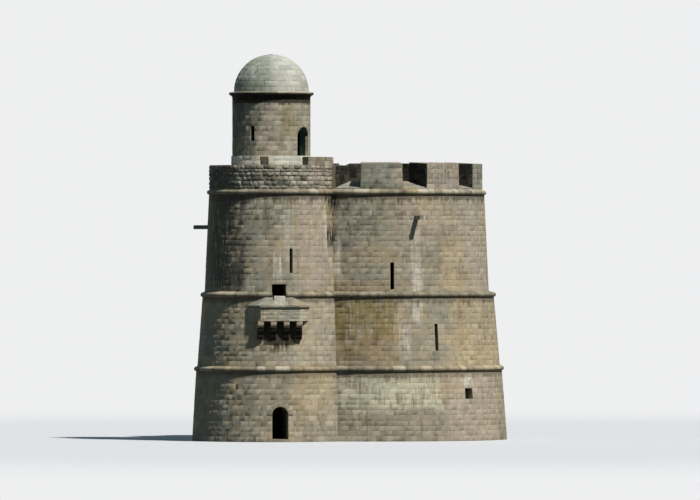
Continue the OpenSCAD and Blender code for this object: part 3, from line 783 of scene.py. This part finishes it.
ashlar = dict(
    tall=0.4, long=0.8, joint=0.008, arris=0.005, proud=0.011, uneven=0.004,
    swell=0.003, rough=0.003, wobble=0.006, sink=0.03, chipped=0.22, cell=0.27,
    worn=0.05, least=0.003,  # how far the most worn stone stays in front of the solid
)
walling = dict(ashlar, jamb=0.3)  # deep stones beside loops, which narrow the slit

# Drum and stair turret, storey by storey

window = dict(half=0.4, low=3.1, high=3.9)
middleLoop = dict(half=0.13, low=6.7, high=8.7)
upperLoop = dict(half=0.14, low=11.27, high=13.27)
drumSpout = dict(half=0.15, low=16.45, high=16.75)
turretSpout = dict(half=0.15, low=15.75, high=16.05)
hatch = dict(half=0.6, low=8.93, high=9.95)
boxWindow = dict(half=0.535, low=10.81, high=11.66)
stairLight = dict(half=0.11)
entrance = dict(at=turret["entrance"], half=0.6, low=0.0, high=2.6, arch=True, ring=0.36)


def around(opening, *azimuths):
    return [dict(opening, at=a) for a in azimuths]


drumWalls = dict(
    base=dict(beds=[window["low"], window["high"]], cuts=around(window, 96.5, 156, 204, 263.5)),
    middle=dict(
        beds=[middleLoop["low"], middleLoop["high"]], cuts=around(middleLoop, 80, 140, 220, 280),
    ),
    upper=dict(
        beds=[upperLoop["high"], drumSpout["low"], drumSpout["high"]],
        cuts=around(upperLoop, 59, 130, 230, 301) + around(drumSpout, 72, 216, 288),
    ),
)
turretWalls = dict(
    base=dict(beds=drumWalls["base"]["beds"], cuts=[entrance]),
    middle=dict(beds=drumWalls["middle"]["beds"], cuts=around(hatch, turret["entrance"])),
    upper=dict(
        beds=[upperLoop["high"], turretSpout["low"], turretSpout["high"]],
        cuts=[
            *around(boxWindow, turret["entrance"]),
            dict(stairLight, at=68, low=12.5, high=14.3),
            dict(stairLight, at=-75, low=13.6, high=15.4),
            *around(turretSpout, -40),
        ],
    ),
)
entranceRing = dict(ashlar, long=0.27, proud=0.055, cell=0.2)
for name, first, tower, walls, finish in (
    ("drum", 100, drum, drumWalls, drumGranite),
    ("turret", 200, turret, turretWalls, turretGranite),
):
    for seed, (storey, look) in enumerate(walls.items(), first):
        work = Stonework(name + "_stones_" + storey, seed)
        face = roundFace(tower, tower[storey], storeys[storey])
        foot, top = storeys[storey]
        heights = courses([foot, *look["beds"], top], walling["tall"], work.draw)
        work.lay(face, heights, wallSpan(tower, storey), walling, look["cuts"])
        if entrance in look["cuts"]:
            work.arch(face, entrance, entranceRing)
        work.build(finish)

rubble = dict(
    tall=0.27, long=0.46, joint=0.035, arris=0.045, proud=0.035, uneven=0.022,
    swell=0.022, rough=0.007, wobble=0.03, sink=0.03, chipped=0.5, cell=0.2,
    worn=0.1, least=0.003, vary=0.22,
)
work = Stonework("turret_stones_head", 230)
face = roundFace(turret, turret["head"], storeys["head"])
heights = courses(storeys["head"], rubble["tall"], work.draw, rubble["vary"])
work.lay(face, heights, wallSpan(turret, "head"), rubble)
work.build(headRubble, 50)

# String courses: a half round nose and a sloping top

nose = dict(
    radius=0.165, facets=8, long=0.95, joint=0.012,
    skin=0.008,  # how far the stones stand in front of the solid string
    root=0.12,  # how far they reach into the wall
    lap=0.02,  # how far they run on past the crease, as an azimuth
    windowReach=5.2,  # where the window over the box cuts the middle string
)


def noseProfile(foot, below, above):
    r, skin, root = nose["radius"], nose["skin"], nose["root"]
    outline = [(below - root, foot - skin)]
    for k in range(nose["facets"] + 1):
        turn = -pi / 2 + pi * k / nose["facets"]
        outline.append((below + (r + skin) * cos(turn), foot + r + (r + skin) * sin(turn)))
    top = foot + level["stringTall"] + skin * 0.5
    return [*outline, (above, top), (above - root, top)]


# the storeys under and over each string
strings = dict(lower=("base", "middle"), middle=("middle", "upper"), top=("upper", "head"))
for seed, (name, (under, over)) in enumerate(strings.items(), 300):
    work = Stonework("string_stones_" + name, seed)
    start = crease(drum[under][1], turret[under][1]) - nose["lap"]
    side = pi - crease(turret[under][1], drum[under][1]) + nose["lap"]
    spans = [(drum, start, fullTurn - start), (turret, -side, side)]
    if name == "middle":
        middle, half = radians(turret["entrance"]), (boxWindow["half"] + 0.01) / nose["windowReach"]
        spans[1:] = [(turret, -side, middle - half), (turret, middle + half, side)]
    for tower, *span in spans:
        profile = noseProfile(level[name + "String"], tower[under][1], tower[over][0])
        work.sweep(tower, profile, span, nose["long"], nose["joint"])
    work.build(stringStone, 40)

# Parapet with its embrasures

embrasure = dict(bay=36, inHalf=0.45, outHalf=0.965, count=9)
parapet = dict(
    bed=0.38, footBed=0.42, innerBed=0.36, coping=[drum["inside"], 6.65, 7.4, drum["head"][1]],
    sill=[5.9, 6.6, 7.35, 8.14],
)
parapetReach = drum["inside"], drum["head"][0]


def embrasureHalf(radius):
    # half width of an embrasure at one radius, as an azimuth
    share = (radius - parapetReach[0]) / (parapetReach[1] - parapetReach[0])
    half = embrasure["inHalf"] + (embrasure["outHalf"] - embrasure["inHalf"]) * share
    return asin(half / radius)


lining = dict(ashlar, proud=0.02, least=0.012)
work = Stonework("parapet_stones", 400)
inside = Stonework("parapet_inner_stones", 410)
outer = roundFace(drum, drum["head"], (parapetFoot, level["merlonOutside"]))
inner = roundFace(drum, (drum["inside"],) * 2, (level["paving"], level["merlonInside"]), -1)
merlonTops = level["merlonInside"], level["merlonOutside"]
coping = ringFace(drum, (drum["inside"], drum["head"][1]), merlonTops)
outerBeds = courses([parapetFoot, level["merlonOutside"]], parapet["bed"], work.draw)
footBeds = courses([level["paving"], level["sillInside"]], parapet["footBed"], work.draw)
innerBeds = courses([level["sillInside"], level["merlonInside"]], parapet["innerBed"], work.draw)
bayTurn = radians(embrasure["bay"])
inHalf, outHalf = (embrasureHalf(radius) for radius in parapetReach)
for k in range(1, embrasure["count"]):
    def merlonSpan(v):
        return k * bayTurn + embrasureHalf(v), (k + 1) * bayTurn - embrasureHalf(v)

    work.lay(outer, outerBeds, lambda v: merlonSpan(parapetReach[1]), ashlar)
    inside.lay(inner, innerBeds, lambda v: merlonSpan(parapetReach[0]), lining)
    work.lay(coping, parapet["coping"], merlonSpan, dict(ashlar, long=1.0))
door = dict(at=0, half=0.45, low=level["paving"], high=level["terraceFoot"])
inside.lay(inner, footBeds, None, lining, [door])
stubBeds = courses([parapetFoot, level["terrace"]], parapet["bed"], work.draw)
headBeds = courses([level["sillInside"], level["terrace"]], parapet["bed"], work.draw)
stub = crease(drum["head"][0], turret["head"][0]) - mason["lap"], bayTurn - outHalf
for ends in (stub, (fullTurn - stub[1], fullTurn - stub[0])):
    work.lay(outer, stubBeds, lambda v: ends, ashlar)
inside.lay(inner, headBeds, lambda v: (-bayTurn + inHalf, bayTurn - inHalf), lining, [door])
for k in range(1, embrasure["count"] + 1):
    for side in (-1, 1):
        besideTurret = (k, side) in ((1, -1), (embrasure["count"], 1))
        top = level["terrace"] if besideTurret else level["merlonOutside"]
        foot, head = (
            [turned(drum, k * bayTurn + side * embrasureHalf(r), r, z) for r in parapetReach]
            for z in (parapetFoot, top)
        )
        cheek = FlatFace(*foot, *head[::-1], side)
        beds = courses([0.0, top - parapetFoot], parapet["bed"], work.draw)
        inside.lay(cheek, beds, wholeSpan, lining)
work.build(parapetGranite)
# inner faces and cheeks in the painted shade stone
inside.build(sootedGranite)

work = Stonework("embrasure_sill_stones", 420)
slope = ringFace(drum, parapetReach, (level["sillInside"], level["sillOutside"]))
for k in range(1, embrasure["count"] + 1):
    def sillSpan(v):
        return k * bayTurn - embrasureHalf(v), k * bayTurn + embrasureHalf(v)

    work.lay(slope, parapet["sill"], sillSpan, dict(ashlar, long=0.75, proud=0.02))
work.build(sillStone)

# Paving of the gun platform and of the terrace

flags = dict(ashlar, long=0.95, proud=0.018, joint=0.014, arris=0.01, cell=0.4)
paving = dict(
    rings=[0.35, 0.95, 1.6, 2.3, 3.0, 3.7, 4.4, 5.1, 5.84], eye=[0.02, 0.35],
    terrace=[2.99, 3.52, 4.05, 4.57], stub=[5.92, 6.45, 7.0, 7.55, 8.12],
    clear=0.03,  # left open at the edges
)


def levelRing(tower, height):
    return ringFace(tower, (0.0, 1.0), (height, height))


def meetingTurn(own, other):
    # the crease of two radii, or 0 where the ring lies wholly clear of the other
    edge = (own**2 + apart**2 - other**2) / (2 * apart * own)
    return acos(edge) if edge < 1 else 0.0


def terraceSpan(v):
    # the terrace stops where the parapet's inner face cuts it
    side = pi - meetingTurn(v, drum["inside"] + paving["clear"])
    return -side, side


work = Stonework("platform_flags", 430)
floor = levelRing(drum, level["paving"])
work.lay(floor, paving["rings"], None, flags)
work.lay(floor, paving["eye"], None, dict(flags, long=0.4))
work.lay(levelRing(turret, level["terrace"]), paving["terrace"], terraceSpan, flags)
for side in (1, -1):
    def stubSpan(v):
        near = meetingTurn(v, turret["head"][0] - paving["clear"])
        return sorted((side * near, side * (bayTurn - embrasureHalf(v))))

    work.lay(levelRing(drum, level["terrace"]), paving["stub"], stubSpan, flags)
work.build(flagStone)

# Lookout: plinth, wall, cornice and dome

fine = dict(
    ashlar, tall=0.36, long=0.62, joint=0.01, arris=0.009, proud=0.014,
    uneven=0.003, rough=0.0015, wobble=0.003, least=0.008, jamb=0.2,
)
lookout = dict(
    radius=2.9, plinth=2.98, plinthBed=0.35, dome=2.78, stilt=0.02,
    out=0.24, hollow=0.18, lip=0.17, facets=6,  # of the cornice
    domeBeds=[-0.14, 0.32, 0.78, 1.24, 1.7, 2.15, 2.6, 3.05, 3.5, 3.9, 4.18], capBeds=[4.18, 4.46],
)
doorway = dict(at=106, half=0.7, low=level["lookout"], high=23.35, arch=True, ring=0.28)
slit = dict(half=0.17, low=22.3, high=23.4)
work = Stonework("lookout_stones", 500)
wall = roundFace(turret, (lookout["radius"],) * 2, (level["lookout"], level["cornice"]))
beds = courses([level["lookout"], slit["low"], slit["high"], level["cornice"]], fine["tall"], work.draw)
cuts = [doorway, *around(slit, 21.5, 225, 320)]
work.lay(wall, beds, None, dict(fine, joint=0.004, arris=0.004), cuts)
work.arch(wall, doorway, dict(fine, long=0.24, proud=0.035))
work.build(lookoutStone)

work = Stonework("plinth_stones", 510)
drain = dict(at=40, half=0.325, low=level["terrace"], high=21.12)
heights = level["terrace"], level["lookout"]
plinth = roundFace(turret, (lookout["plinth"],) * 2, heights)
beds = courses(heights, lookout["plinthBed"], work.draw)
work.lay(plinth, beds, None, dict(fine, long=0.9), [drain])
work.build(limeStone)

guard = dict(
    inner=3.88, outer=4.62, start=86.7, end=146.3, bed=20.82, top=21.12,
    arris=0.02, long=0.85, joint=0.014, uneven=0.008,
)
work = Stonework("guard_stones", 520)
a, b, c = guard["inner"], guard["outer"], guard["arris"]
span = radians(guard["start"]), radians(guard["end"])
for low, high in ((level["terrace"], guard["bed"]), (guard["bed"] + 0.01, guard["top"])):
    block = [(a, low), (b, low), (b, high - c), (b - c, high), (a + c, high), (a, high - c)]
    work.sweep(turret, block, span, guard["long"], guard["joint"], guard["uneven"])
work.build(stringStone)

cornice = dict(skin=0.008, root=0.1, start=0.1, long=0.85, joint=0.01, uneven=0.003)
work = Stonework("cornice_stones", 530)
edge, foot, out, skin = lookout["radius"], level["cornice"], lookout["out"], cornice["skin"]
corniceOutline = [(edge - cornice["root"], foot - skin), (edge + skin, foot - skin)]
for k in range(lookout["facets"] + 1):
    turn = pi - pi / 2 * k / lookout["facets"]  # round the hollow under the lip
    reach = out - 0.02
    height = foot + lookout["hollow"] + reach * sin(turn) - skin
    corniceOutline.append((edge + out + reach * cos(turn), height))
lipFoot = foot + lookout["hollow"] + out
lipTop, tip = lipFoot + lookout["lip"], edge + out
corniceOutline += [
    (tip + skin, lipFoot - skin), (tip + skin, lipTop - 0.01), (tip - 0.01, lipTop + skin),
    (lookout["dome"], level["dome"] + skin), (lookout["dome"] - cornice["root"], level["dome"] + skin),
]
span = cornice["start"], cornice["start"] + fullTurn
work.sweep(turret, corniceOutline, span, cornice["long"], cornice["joint"], cornice["uneven"])
work.build(corniceStone, 40)

work = Stonework("dome_stones", 540)
dome = domeFace(turret, lookout["dome"], level["dome"] + lookout["stilt"])
slab = dict(fine, long=0.85, arris=0.01, proud=0.012, swell=0.0)
work.lay(dome, lookout["domeBeds"], None, slab)
work.lay(dome, lookout["capBeds"], None, dict(slab, long=0.5, proud=0.03))
work.build(domeStone)

# Box over the entrance: its walls and stone roof

box = dict(
    at=radians(turret["entrance"]), half=1.45, reach=5.83, cant=radians(55),
    side=1.42, foot=hatch["low"], band=0.15, bed=0.29, eaves=hatch["high"],
    over=0.11, eavesSide=1.4, eavesTall=0.12,
    ridge=10.7, ridgeHalf=2.9 / 3, ridgeReach=5.12, ridgeSide=0.55,
)


def boxSpot(x, reach, z):
    a = box["at"]
    return x * cos(a) + reach * sin(a), turret["axis"] + x * sin(a) - reach * cos(a), z


def boxLine(side, half, reach, run, z):
    # front, or one canted side, as its two ends at one height
    c, s = cos(box["cant"]), sin(box["cant"])
    if side == 0:
        return boxSpot(-half, reach, z), boxSpot(half, reach, z)
    ends = boxSpot(side * half, reach, z), boxSpot(side * (half + run * c), reach - run * s, z)
    return ends if side > 0 else ends[::-1]


work = Stonework("box_stones", 600)
for side in (-1, 0, 1):
    wallLine = side, box["half"], box["reach"], box["side"]
    foot, head = boxLine(*wallLine, box["foot"]), boxLine(*wallLine, box["eaves"])
    panel = FlatFace(*foot, *head[::-1])
    work.lay(panel, [0.0, box["band"]], wholeSpan, dict(fine, dressed=1.0, proud=0.03))
    beds = courses([box["band"], box["eaves"] - box["foot"]], box["bed"], work.draw)
    work.lay(panel, beds, wholeSpan, dict(fine, long=0.6))
work.build(boxGranite)

work = Stonework("box_roof_slabs", 610)
eaves = box["half"] + box["over"] * tan(box["cant"] / 2), box["reach"] + box["over"], box["eavesSide"]
top = box["eaves"] + box["eavesTall"]
for side in (-1, 0, 1):
    foot, head = boxLine(side, *eaves, box["eaves"]), boxLine(side, *eaves, top)
    ridge = boxLine(side, box["ridgeHalf"], box["ridgeReach"], box["ridgeSide"], box["ridge"])
    panel = FlatFace(*head, *ridge[::-1])
    beds = [0.0, panel.tall * 0.5, panel.tall - 0.01]
    work.lay(panel, beds, wholeSpan, dict(fine, long=0.75, proud=0.025))
    edge = FlatFace(*foot, *head[::-1])
    work.lay(edge, [0.0, box["eavesTall"]], wholeSpan, dict(fine, long=0.95))
work.build(roofGranite)

boxSill = dict(
    half=0.4 / 5.4, long=1.4,
    outline=[(4.95, 10.4), (5.5, 10.4), (5.5, 10.76), (5.48, 10.78), (4.95, 10.8)],
)
work = Stonework("box_sill_stone", 620)
span = box["at"] - boxSill["half"], box["at"] + boxSill["half"]
work.sweep(turret, boxSill["outline"], span, boxSill["long"], 0.0, 0.0)
work.build(limeStone)

# Finishes of the solids themselves

evenTone = 0.5, 0.5, 0.0, 0.0  # the solids have no stones of their own
solidFinish = {
    drumCore: ("base_wall", "middle_wall", "upper_wall", "merlons", "platform_vault"),
    turretCore: ("turret_base", "turret_middle", "turret_upper", "turret_head", "turret_terrace"),
    floorCore: ("ground_floor", "first_floor", "second_floor", "platform_paving"),
    stringStone: ("lower_string", "middle_string", "top_string", "terrace_guard"),
    # the inside of the lookout wall in the painted shade stone
    sootedGranite: ("lookout_wall_back", "lookout_wall_front"),
    shadedGranite: "lookout_wall_door", corniceStone: "lookout_cornice", corbelStone: "box_corbels",
    parapetGranite: "water_spouts", boxGranite: "box_wall", roofGranite: "box_roof",
    sillStone: "embrasure_sills", limeStone: "lookout_plinth", domeStone: "lookout_dome",
}
for material, starts in solidFinish.items():
    for name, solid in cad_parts.items():
        if name.startswith(starts):
            solid.data.materials.clear()
            solid.data.materials.append(material)
            toneMesh(solid.data, np.tile(evenTone, (len(solid.data.vertices), 1)))
print("solids finished")

# Floor, light and camera

studio = dict(
    floorSize=900.0, floorDrop=0.01, fadeFrom=60.0, fadeTo=140.0, pale=(0.86, 0.865, 0.87, 1.0),
    floorSeen=(0.5, 0.5, 0.5, 1.0),  # what the camera sees near the tower
    floorBounce=(0.08, 0.08, 0.072, 1.0),  # what lights the walls from below
    floorRough=0.9, floorGloss=0.1, sunAzimuth=97, sunHeight=55, sunStrength=5.35, sunSize=3.0,
    sunColour=(1.0, 0.985, 0.97), fill=0.205, fillColour=(0.3, 0.66, 1.0, 1.0),
)
view = dict(azimuth=50, distance=760, lens=520, centre=14.2, aside=-1.8, near=1, far=4000)

half = studio["floorSize"]
corners = [(-half, -half, 0), (half, -half, 0), (half, half, 0), (-half, half, 0)]
floorMesh = bpy.data.meshes.new("studio_floor")
floorMesh.from_pydata(corners, [], [(0, 1, 2, 3)])
floorPiece = addToScene("studio_floor", floorMesh)
floorPiece.location.z = -studio["floorDrop"]
r = Recipe("studioFloor")
place = r.node("TexCoord").of("Object")
away = r.node("VectorMath", {0: place}, operation="LENGTH").of("Value")
matt, dull = (
    r.node("BsdfPrincipled", {
        "Base Color": studio[tone], "Roughness": studio["floorRough"],
        "Specular IOR Level": studio["floorGloss"],
    })
    for tone in ("floorSeen", "floorBounce")
)
glow = r.node("Emission", {"Color": studio["pale"], "Strength": 1.0})
far = r.step(away, studio["fadeFrom"], studio["fadeTo"])
shown = r.node("MixShader", {0: far, 1: matt, 2: glow})
r.node("OutputMaterial", {"Surface": r.node("MixShader", {0: r.seen(), 1: dull, 2: shown})})
floorMesh.materials.append(r.material)

w = Recipe("studioSky", bpy.data.worlds)
fill = w.node("Background", {"Color": studio["fillColour"], "Strength": studio["fill"]})
pale = w.node("Background", {"Color": studio["pale"], "Strength": 1.0})
w.node("OutputWorld", {"Surface": w.node("MixShader", {0: w.seen(), 1: fill, 2: pale})})
scene.world = w.material


def aim(made, way, axis):
    made.rotation_mode = "QUATERNION"
    made.rotation_quaternion = way.to_track_quat(axis, "Y")


sun = bpy.data.lights.new("key", "SUN")
sun.energy = studio["sunStrength"]
sun.angle = radians(studio["sunSize"])
sun.color = studio["sunColour"]
a, e = radians(studio["sunAzimuth"]), radians(studio["sunHeight"])
towardSun = Vector((sin(a) * cos(e), -cos(a) * cos(e), sin(e)))
aim(addToScene("key", sun), towardSun, "Z")

camera = bpy.data.cameras.new("camera")
camera.lens = view["lens"]
camera.clip_start, camera.clip_end = view["near"], view["far"]
cameraObject = addToScene("camera", camera)
a = radians(view["azimuth"])
back, right = Vector((sin(a), -cos(a), 0)), Vector((cos(a), sin(a), 0))
cameraObject.location = back * view["distance"] + right * view["aside"] + Vector((0, 0, view["centre"]))
aim(cameraObject, -back, "-Z")
scene.camera = cameraObject
scene.view_settings.view_transform = "Standard"
print("light and camera set")
